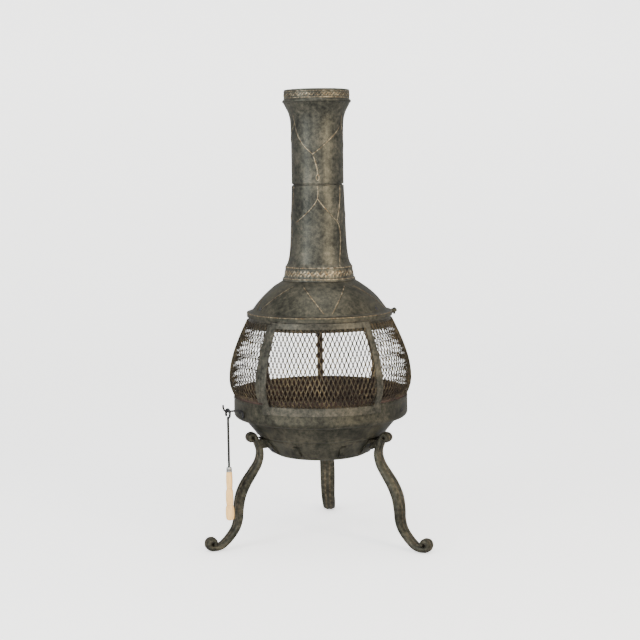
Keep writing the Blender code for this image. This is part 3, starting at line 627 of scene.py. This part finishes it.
LINE = barrel_line()
LINE_RUN = run_along(LINE)


def barrel_radius(height):
    if height > LINE[0, 1]:
        return LINE[0, 0] - (height - LINE[0, 1]) * 0.5
    if height < LINE[-1, 1]:
        return LINE[-1, 0]
    return float(np.interp(-height, -LINE[:, 1], LINE[:, 0]))


def barrel_point(across, along, centre, lift):
    """A point of the cage from a distance round it and a distance down it, with the way out from it."""
    radius = float(np.interp(along, LINE_RUN, LINE[:, 0]))
    height = float(np.interp(along, LINE_RUN, LINE[:, 1]))
    ahead = np.array([np.interp(along + 2 * MM, LINE_RUN, LINE[:, k]) for k in (0, 1)])
    behind = np.array([np.interp(along - 2 * MM, LINE_RUN, LINE[:, k]) for k in (0, 1)])
    run = ahead - behind
    run /= np.linalg.norm(run)
    bearing = centre + math.degrees(across / radius)
    angle = math.radians(bearing)
    out = Vector((-run[1] * math.sin(angle), run[1] * math.cos(angle), run[0]))
    return polar(radius, bearing, height) + out * lift, out


MESH_ACROSS = 11 * MM
MESH_DOWN = 26.4 * MM
STRAND_WIDTH = 2.6 * MM
SIDE_STRAND_WIDTH = 1.7 * MM
STRAND_THICK = 1.1 * MM
SHORTEST_STRAND = 1.5 * MM
STRAND_TILT = 24           # degrees, how far each strand turns out of the sheet
KNUCKLE = 1.28             # how much wider a strand is where two meet


def expanded_mesh(name, first, last, low, high, lift, body, node, strand=STRAND_WIDTH):
    """Diamonds of expanded steel, of one size all over, cut off at the panel's two sides."""
    centre, half = (first + last) / 2, (last - first) / 2
    top = float(np.interp(-high, -LINE[:, 1], LINE_RUN))
    bottom = float(np.interp(-low, -LINE[:, 1], LINE_RUN))
    rows = int(math.ceil((bottom - top) / (MESH_DOWN / 2)))
    columns = int(math.ceil(math.radians(half) * BARREL / (MESH_ACROSS / 2))) + 1
    bm = bmesh.new()

    def spare(across, along):
        radius = float(np.interp(along, LINE_RUN, LINE[:, 0]))
        return half - abs(math.degrees(across / radius))

    for row in range(rows):
        for column in range(-columns, columns + 1):
            if (row + column) % 2:
                continue
            for step in (-1, 1):
                a = Vector((column * MESH_ACROSS / 2, bottom - row * MESH_DOWN / 2))
                b = Vector(((column + step) * MESH_ACROSS / 2, bottom - (row + 1) * MESH_DOWN / 2))
                if b.y < top:
                    b = a + (b - a) * (a.y - top) / (a.y - b.y)
                at_a, at_b = spare(*a), spare(*b)
                if at_a <= 0 and at_b <= 0:
                    continue
                if at_a < 0:
                    a = a + (b - a) * at_a / (at_a - at_b)
                elif at_b < 0:
                    b = b + (a - b) * at_b / (at_b - at_a)
                if (b - a).length < SHORTEST_STRAND:
                    continue
                rings = []
                for k in range(4):
                    spot = a.lerp(b, k / 3)
                    here, out = barrel_point(spot.x, spot.y, centre, lift)
                    ahead, _ = barrel_point(*(spot + (b - a) * 0.02), centre, lift)
                    run = (ahead - here).normalized()
                    side = run.cross(out).normalized()
                    lean = math.radians(STRAND_TILT) * step
                    wide = side * math.cos(lean) + out * math.sin(lean)
                    thick = out * math.cos(lean) - side * math.sin(lean)
                    width = strand / 2 * (KNUCKLE if k in (0, 3) else 1.0)
                    corners = ((-1, -1), (1, -1), (1, 1), (-1, 1))
                    rings.append([bm.verts.new(here + wide * width * p + thick * STRAND_THICK / 2 * q)
                                  for p, q in corners])
                join_rings(bm, rings)
                cap_ends(bm, rings)
    add_piece(name, loose_mesh(name, bm, 30), [WIRE], body, [node])


def spaced(first, last, step):
    """Even places from first to last, no more than a step apart."""
    count = max(1, math.ceil(abs(last - first) / step))
    return [first + (last - first) * i / count for i in range(count + 1)]


def curved_plate(name, bearings, heights, inner, body, node, window=None, floor_radius=0.0):
    """A strip or frame that follows the cage; inner is how far its inner face stands out from the cage."""
    bm = bmesh.new()
    corners = {}

    def corner(i, j, side):
        if (i, j, side) not in corners:
            radius = barrel_radius(heights[j]) + inner
            if heights[j] < MESH_BOTTOM + 2 * MM:
                radius = max(radius, floor_radius)
            corners[i, j, side] = bm.verts.new(polar(radius + STRIP * side, bearings[i], heights[j]))
        return corners[i, j, side]

    filled = {(i, j) for i in range(len(bearings) - 1) for j in range(len(heights) - 1)
              if window is None or not window(bearings[i:i + 2], heights[j:j + 2])}
    for i, j in sorted(filled):
        square = [(i, j), (i + 1, j), (i + 1, j + 1), (i, j + 1)]
        bm.faces.new([corner(a, b, 1) for a, b in square])
        bm.faces.new([corner(a, b, 0) for a, b in square[::-1]]).material_index = 1
        for k, beside in enumerate([(i, j - 1), (i + 1, j), (i, j + 1), (i - 1, j)]):
            if beside not in filled:
                p, q = square[k], square[(k + 1) % 4]
                bm.faces.new((corner(*p, 0), corner(*q, 0), corner(*q, 1), corner(*p, 1)))
    soften(add_piece(name, mesh_of(name, bm, 50), [STRIPS, DARK_INSIDE], body, [node]), 0.8 * MM)


# Each post's two edges, as bearings
POSTS = {
    "post_front_left": (-43.2, -37.8),
    "post_front_right": (34.8, 40.2),
    "post_rear_left": (-143.0, -139.1),
    "post_rear": (178.1, 182.0),
    "post_rear_right": (139.1, 143.0),
}


def cage():
    heights = spaced(MESH_TOP, MESH_BOTTOM, 5 * MM)
    for name, (first, last) in POSTS.items():
        curved_plate(f"{name}_strip", spaced(first, last, 1.0), heights, 0.4 * MM - STRIP, "chiminea", name)
    for side, first, last in (("left", POSTS["post_rear_left"][1], POSTS["post_front_left"][0]),
                              ("right", POSTS["post_front_right"][1], POSTS["post_rear_right"][0])):
        expanded_mesh(f"mesh_{side}_diamonds", first, last, MESH_BOTTOM, MESH_TOP, -0.75 * MM,
                      "chiminea", f"mesh_{side}", SIDE_STRAND_WIDTH)
    ring_bottom = RIM_BOTTOM + 7 * MM
    outer = [(217.6 * MM, RING_TOP), (217.6 * MM, ring_bottom)]
    inner = [(214.8 * MM, RING_TOP), (214.8 * MM, ring_bottom)]
    mesh = turned("cage_ring_low", resample(outer, 6 * MM), inner, RING_STEPS)
    add_piece("cage_ring_low", mesh, [DARK_INSIDE, DARK_INSIDE], "chiminea", ["cage_ring_lower"])


def door():
    first, last = DOOR
    stiles = (first + DOOR_STILE, last - DOOR_STILE)
    low, high = DOOR_WINDOW
    bearings = spaced(first, stiles[0], 1.2) + spaced(*stiles, 1.2)[1:-1] + spaced(stiles[1], last, 1.2)
    heights = spaced(DOOR_TOP, high, 4 * MM) + spaced(high, low, 5 * MM)[1:-1]
    heights += spaced(low, DOOR_BOTTOM, 5 * MM)

    def window(b, z):
        slack = 1e-6
        return (b[0] >= stiles[0] - slack and b[1] <= stiles[1] + slack
                and z[0] <= high + slack and z[1] >= low - slack)

    clear = 0.9 * MM
    curved_plate("door_strips", bearings, heights, clear, "door", "door_frame", window, BOWL_RIM + clear)
    expanded_mesh("door_diamonds", *stiles, low, high, 2.35 * MM, "door", "door_mesh")


# ---------------------------------------------------------------- legs

FOOT_HALF = 9.0 * MM


def leg_path():
    """The bar's middle from inside the upper curl to inside the foot's curl, as (radius, height)."""
    top = (193 * MM, 278 * MM)
    curl = []
    for i in range(26):
        t = i / 25
        angle = math.radians(-150 + 330 * t)
        radius = (5.0 + 4.5 * t) * MM
        curl.append((top[0] + radius * math.cos(angle), top[1] + radius * math.sin(angle)))
    body = [(177, 262), (171, 246), (171, 229), (178, 209), (193, 187), (210, 163), (224, 134),
            (230, 103), (232, 75), (240, 51), (257, 29)]
    route = [curl[-1]] + [(r * MM, z * MM) for r, z in body]
    toe, toe_curl = 303 * MM, 11.5
    route += [(275 * MM, FOOT_HALF + 4.5 * MM), (288 * MM, FOOT_HALF), (296 * MM, FOOT_HALF), (toe, FOOT_HALF)]
    middle = [tuple(p) for p in catmull(route, 8)]
    foot = []
    for i in range(1, 30):
        t = i / 29
        angle = math.radians(-90 + 330 * t)
        radius = (toe_curl - 5.0 * t) * MM
        foot.append((toe + radius * math.cos(angle), FOOT_HALF + toe_curl * MM + radius * math.sin(angle)))
    return curl[:-1] + middle + foot


def leg_depth(t):
    """Half the bar's depth at a share t of its length: thin in the upper curl, thickest half-way down."""
    if t < 0.24:
        return (5.8 + 3.4 * t / 0.24) * MM
    if t < 0.70:
        return FOOT_HALF + 3.6 * MM * math.sin(math.pi * (t - 0.24) / 0.46)
    if t < 0.86:
        return FOOT_HALF
    return FOOT_HALF - 2.6 * MM * (t - 0.86) / 0.14


def leg_width(t):
    """Half the bar's width."""
    return (14.5 + 5.5 * math.sin(math.pi * t) ** 2) * MM


def leg_section(count=44):
    """A rounded bar with two ridges down each broad face, as (depth, width, crest)."""
    points = []
    for i in range(count):
        angle = 2 * math.pi * i / count
        c, s = math.cos(angle), math.sin(angle)
        x = math.copysign(abs(c) ** 0.7, c)
        y = math.copysign(abs(s) ** 0.7, s)
        groove = 0.5 + 0.5 * math.cos(3 * math.pi * y)
        points.append((x * (1 - 0.17 * groove), y, (1 - groove) * abs(x)))
    return points


def sector(bm, outline, first, last, step, turn):
    """A solid with the outline as its section, swept round the axis between two bearings."""
    slices = max(1, math.ceil((last - first) / step))
    rings = []
    for k in range(slices + 1):
        bearing = first + (last - first) * k / slices
        angle = math.radians(bearing)
        rings.append([bm.verts.new(turn @ Vector((r * math.sin(angle), -r * math.cos(angle), z)))
                      for r, z in outline])
    join_rings(bm, rings)
    cap_ends(bm, rings)


CONE_FOOT, CONE_RIDGE = (121 * MM, 227.5 * MM), (165 * MM, 279 * MM)
CONE_ANGLE = math.atan2(CONE_RIDGE[1] - CONE_FOOT[1], CONE_RIDGE[0] - CONE_FOOT[0])
PAD, PAD_GAP = 5 * MM, 0.6 * MM


def cone_radius(height):
    across, up = CONE_RIDGE[0] - CONE_FOOT[0], CONE_RIDGE[1] - CONE_FOOT[1]
    return CONE_FOOT[0] + across * (height - CONE_FOOT[1]) / up


def pad_radius(height):
    return cone_radius(height) + (PAD_GAP + PAD) / math.sin(CONE_ANGLE)


def leg(side):
    turn = Matrix.Translation(AXIS) @ Matrix.Rotation(math.radians(LEGS[side]), 4, "Z")
    path = resample(leg_path(), 2.6 * MM)
    section = leg_section()
    bm = bmesh.new()
    crest_layer = bm.verts.layers.float.new("relief")
    rings = []
    last = len(path) - 1
    for i, point in enumerate(path):
        run = Vector(path[min(i + 1, last)] - path[max(i - 1, 0)]).normalized()
        across = Vector((run.y, -run.x))
        t = i / last
        ends = min(1.0, 0.45 + 0.275 * min(i, last - i))
        ring = []
        for depth, width, crest in section:
            spot = Vector(point) + across * depth * leg_depth(t) * ends
            side_way = width * leg_width(t) * (0.75 + 0.25 * ends)
            vertex = bm.verts.new(turn @ Vector((side_way, -spot.x, spot.y)))
            vertex[crest_layer] = crest * 0.5
            ring.append(vertex)
        rings.append(ring)
    join_rings(bm, rings)
    cap_ends(bm, rings)
    gap = PAD_GAP / math.sin(CONE_ANGLE)
    heights = (273 * MM, 233 * MM)
    inner = [(cone_radius(z) + gap, z) for z in heights]
    outer = [(pad_radius(z), z) for z in heights]
    soft = 1.2 * MM
    pad = [inner[0], (outer[0][0] - soft, outer[0][1]), (outer[0][0] - soft, outer[0][1] - soft),
           (outer[1][0], outer[1][1] + soft), (outer[1][0] - soft, outer[1][1]), inner[1]]
    sector(bm, pad, -10.5, 10.5, 1.5, turn)
    web_top, web_foot = 271 * MM, 249 * MM
    web = [(pad_radius(web_top) - 2 * MM, web_top), (182 * MM, web_top), (172 * MM, web_foot),
           (pad_radius(web_foot) - 2 * MM, web_foot)]
    sector(bm, web, -2.5, 2.5, 2.5, turn)
    mesh = loose_mesh(f"leg_{side}_scrolled", bm, 45)
    add_piece(f"leg_{side}_scrolled", mesh, [BODY], "chiminea", [f"leg_{side}"])


# ---------------------------------------------------------------- fasteners, hook and poker

def bolt(name, place, length, node):
    """A round-headed bolt with a slightly dished edge."""
    head = arc((0, -2.2 * MM), 5.5 * MM, 90, 24, 8)
    shank = 2.9 * MM
    outline = [*head, (5.4 * MM, 0), (shank, 0), (shank, -length + 0.6 * MM), (shank - 0.6 * MM, -length),
               (0, -length)]
    bm = bmesh.new()
    rings = spun_rings(bm, outline, 24, place)
    join_rings(bm, rings + rings[:1], closed=False)
    bmesh.ops.remove_doubles(bm, verts=bm.verts, dist=WELD)
    bmesh.ops.dissolve_degenerate(bm, dist=1e-7, edges=bm.edges)
    add_piece(name, mesh_of(name, bm), [BLACK], "chiminea", [node])


def bolts():
    for side, bearing in {"left": -66, "right": 65, "rear": 180}.items():
        bolt(f"rim_bolt_{side}_round", outward(bearing, 221.8 * MM, 346 * MM), 14 * MM, f"rim_bolt_{side}")
    for side, bearing in {"left": -62, "right": 58, "rear": 178}.items():
        bolt(f"dome_bolt_{side}_round", outward(bearing, 165.8 * MM, 601.1 * MM, -36), 14.2 * MM,
             f"dome_bolt_{side}")
    for side, middle in LEGS.items():
        for key, (shift, height) in {"upper": (-8.0, 262 * MM), "lower": (8.0, 244 * MM)}.items():
            proud = pad_radius(height) + 0.3 * MM
            place = outward(middle + shift, proud, height, 90 - math.degrees(CONE_ANGLE))
            bolt(f"leg_bolt_{side}_{key}_round", place, 15 * MM, f"leg_bolt_{side}_{key}")
    bolt("dome_lug_bolt_round", Matrix.Translation(polar(191.5 * MM, 95, LIP_BOTTOM + 12.3 * MM)), 14 * MM,
         "dome_lug_bolt")


def tube(name, points, radius):
    """A round wire through points in space, with narrowed ends."""
    bm = bmesh.new()
    steps = 14
    rings = []
    out = None
    last = len(points) - 1
    for i, point in enumerate(points):
        run = (points[min(i + 1, last)] - points[max(i - 1, 0)]).normalized()
        if out is None:
            out = run.orthogonal().normalized()
        out = (out - run * out.dot(run)).normalized()
        side = run.cross(out)
        size = radius * 0.6 if i in (0, last) else radius
        ring = []
        for k in range(steps):
            angle = 2 * math.pi * k / steps
            ring.append(bm.verts.new(point + (out * math.cos(angle) + side * math.sin(angle)) * size))
        rings.append(ring)
    join_rings(bm, rings)
    cap_ends(bm, rings)
    return mesh_of(name, bm, 60)


def hook():
    wall = BOWL_RIM + 0.6 * MM + HOOK_WIRE
    flat = POKER_PIVOT
    line = [(wall, flat - 21 * MM), (wall, flat - 12 * MM), (wall + 2 * MM, flat - 5 * MM),
            (wall + 9 * MM, flat - 1 * MM), (POKER_RADIUS - 16 * MM, flat), (POKER_RADIUS, flat),
            (POKER_RADIUS + 8 * MM, flat + 3 * MM), (POKER_RADIUS + 12 * MM, flat + 9 * MM),
            (POKER_RADIUS + 13 * MM, flat + 18 * MM)]
    route = resample([tuple(p) for p in catmull(line, 8)], 1.4 * MM)
    points = [polar(r, HOOK_BEARING, z) for r, z in route]
    add_piece("poker_hook_wire", tube("poker_hook_wire", points, HOOK_WIRE), [BLACK], "chiminea",
              ["poker_hook"])


def poker():
    turn = Matrix.Rotation(math.radians(HOOK_BEARING), 4, "Z")
    place = Matrix.Translation(polar(POKER_RADIUS, HOOK_BEARING, POKER_PIVOT)) @ turn
    # The eye hangs from the hook with a little play.
    drop = EYE - ROD_WIRE - HOOK_WIRE - 0.3 * MM
    eye = arc((0, -drop), EYE, 225, -90, 60)
    down = [(0, -24 * MM), (0, -40 * MM), (0, -100 * MM), (0, 186 * MM - POKER_PIVOT)]
    route = resample(eye + down, 1.6 * MM)
    points = [place @ Vector((x, 0, z)) for x, z in route]
    add_piece("poker_rod_wire", tube("poker_rod_wire", points, ROD_WIRE), [BLACK], "poker",
              ["poker_rod"])

    def spin(name, outline, marks, steps, material, node):
        """A turned solid round the rod, its outline closed; marks are its relief values."""
        bm = bmesh.new()
        layer = bm.verts.layers.float.new("relief")
        rings = spun_rings(bm, [(r, z - POKER_PIVOT) for r, z in outline], steps, place)
        for ring in rings:
            for vertex, mark in zip(ring, marks):
                vertex[layer] = mark
        for k in range(steps):
            here, there = rings[k], rings[(k + 1) % steps]
            for i in range(len(outline)):
                j = (i + 1) % len(outline)
                if outline[i][0] > WELD or outline[j][0] > WELD:
                    bm.faces.new((here[i], here[j], there[j], there[i]))
        bmesh.ops.remove_doubles(bm, verts=bm.verts, dist=WELD)
        bmesh.ops.dissolve_degenerate(bm, dist=1e-7, edges=bm.edges)
        add_piece(name, mesh_of(name, bm), [material], "poker", [node])

    bore = 3.3 * MM
    ferrule_foot = HANDLE_TOP + 0.3 * MM
    cup = [(4.4 * MM, FERRULE_TOP), (5.4 * MM, 215 * MM), (6.8 * MM, 212 * MM), (6.8 * MM, 206.4 * MM),
           (7.0 * MM, 205.6 * MM), (6.8 * MM, ferrule_foot)]
    ferrule = [(bore, FERRULE_TOP), *fillet(cup, 0.8 * MM), (bore, ferrule_foot)]
    spin("poker_ferrule_cup", ferrule, [0] * len(ferrule), 40, ZINC, "poker_ferrule")
    grooves, rod_end = (162.6 * MM, 121 * MM), 184 * MM
    line = catmull([(7.0, 204), (8.0, 193), (8.2, 182), (7.7, 167.5), (6.9, 162.6), (7.6, 159), (8.9, 155),
                    (9.5, 141), (9.2, 127), (8.2, 121.0), (8.8, 117.6), (10.1, 113), (10.8, 100), (10.2, 89),
                    (8.6, 84), (5.0, 82)], 6)
    line = [(r * MM, z * MM) for r, z in line]
    handle = [(bore, HANDLE_TOP), *line, (0, HANDLE_END), (0, rod_end), (bore, rod_end)]
    dark = [max(0.0, 0.75 - min(abs(z - groove) for groove in grooves) / (1.1 * MM)) for _, z in line]
    marks = [0, *dark, 0, 0, 0]
    spin("poker_handle_turned", handle, marks, 48, WOOD, "poker_handle")


def dress_cad():
    """CAD pieces whose shape is right keep it, with softened edges and their own finish."""
    finishes = {"fire_grate": (DARK_INSIDE, "grate_iron"), "cage_ring_upper": (STRIPS, "body_cast"),
                "vent_hood_left": (BODY, "body_cast"), "vent_hood_right": (BODY, "body_cast"),
                "dome_lug": (BODY, "body_cast")}
    for side in ("left", "right"):
        finishes[f"door_hanger_{side}"] = (STRIPS, "cage_strip")
        finishes[f"door_shoe_{side}"] = (STRIPS, "cage_strip")
    for name in NODES:
        if "_nut_" in name:
            finishes[name] = (BLACK, "black_steel")
    for name, (finish, slot) in finishes.items():
        node = NODES[name]
        for place in node.material_slots:
            place.material = finish
        soften(node, 0.5 * MM)


flue_upper()
flue_lower()
dome()
bowl()
cage()
door()
for leg_side in LEGS:
    leg(leg_side)
bolts()
hook()
poker()
dress_cad()


# ---------------------------------------------------------------- studio

PAPER_GLOW = 1.0
FLOOR_RADIUS, SWEEP_RADIUS, WALL_TOP = 4.0, 1.6, 6.0


def plain_white(name, colour):
    """Paper that glows a little, so that it reads as pale all over."""
    made, tree, shader = shader_nodes(name)
    coords = tree.nodes.new("ShaderNodeTexCoord").outputs["Object"]
    faint = noise_node(tree, coords, 3, 2)
    light = tuple(min(1.0, c * 1.01) for c in colour)
    tree.links.new(ramp(tree, faint, [(0.3, colour), (0.7, light)]), shader.inputs["Base Color"])
    shader.inputs["Roughness"].default_value = 0.9
    shader.inputs["Emission Color"].default_value = (1, 1, 1, 1)
    shader.inputs["Emission Strength"].default_value = PAPER_GLOW
    return made


def sweep():
    """A pale round floor that curves up into a wall on every side, unseen by the metal's reflections."""
    line = [(0.02, 0.0), (2.0, 0.0), (FLOOR_RADIUS, 0.0)]
    line += [(FLOOR_RADIUS + SWEEP_RADIUS * math.sin(a), SWEEP_RADIUS - SWEEP_RADIUS * math.cos(a))
             for a in np.linspace(0.1, math.pi / 2, 12)]
    line.append((FLOOR_RADIUS + SWEEP_RADIUS, WALL_TOP))
    bm = bmesh.new()
    rings = spun_rings(bm, line, 96)
    join_rings(bm, rings + rings[:1], closed=False)
    bm.faces.new([ring[0] for ring in rings])
    mesh = bpy.data.meshes.new("studio_sweep")
    bm.to_mesh(mesh)
    bm.free()
    mesh.shade_smooth()
    mesh.materials.append(plain_white("studio_white", (0.93, 0.93, 0.925)))
    made = bpy.data.objects.new("studio_sweep", mesh)
    made.visible_glossy = False
    bpy.context.scene.collection.objects.link(made)


def area_light(name, place, aim, size, power, tint=(1, 1, 1)):
    light = bpy.data.lights.new(name, "AREA")
    light.shape = "RECTANGLE"
    light.size, light.size_y = size
    light.energy = power
    light.color = tint
    made = bpy.data.objects.new(name, light)
    made.location = place
    made.rotation_euler = (Vector(aim) - Vector(place)).to_track_quat("-Z", "Y").to_euler()
    bpy.context.scene.collection.objects.link(made)


def studio():
    sweep()
    world = bpy.data.worlds.new("studio")
    world.use_nodes = True
    background = world.node_tree.nodes["Background"]
    background.inputs["Color"].default_value = (1.0, 1.0, 1.0, 1)
    background.inputs["Strength"].default_value = 0.45
    bpy.context.scene.world = world
    area_light("left", (-2.2, -2.0, 1.5), (0, 0, 0.6), (0.7, 2.4), 55, (0.92, 0.97, 1.0))
    area_light("right", (2.0, -2.2, 1.5), (0, 0, 0.6), (0.6, 2.4), 65, (1.0, 0.86, 0.64))
    area_light("top", (0.0, -0.4, 3.4), (0, 0, 0.3), (1.8, 1.8), 40)
    area_light("low", (-0.4, -2.8, 0.5), (0, 0, 0.3), (1.6, 0.6), 14)


CAMERA_DOWN, CAMERA_ROLL = 6.28, -0.8      # degrees


def camera():
    data = bpy.data.cameras.new("camera")
    data.sensor_width = 36
    data.lens = 78.0
    made = bpy.data.objects.new("camera", data)
    made.location = (AXIS.x + 0.001, -3.55, 0.95)
    level = Matrix.Rotation(math.radians(90 - CAMERA_DOWN), 4, "X")
    made.rotation_euler = (level @ Matrix.Rotation(math.radians(CAMERA_ROLL), 4, "Z")).to_euler()
    bpy.context.scene.collection.objects.link(made)
    bpy.context.scene.camera = made


studio()
camera()
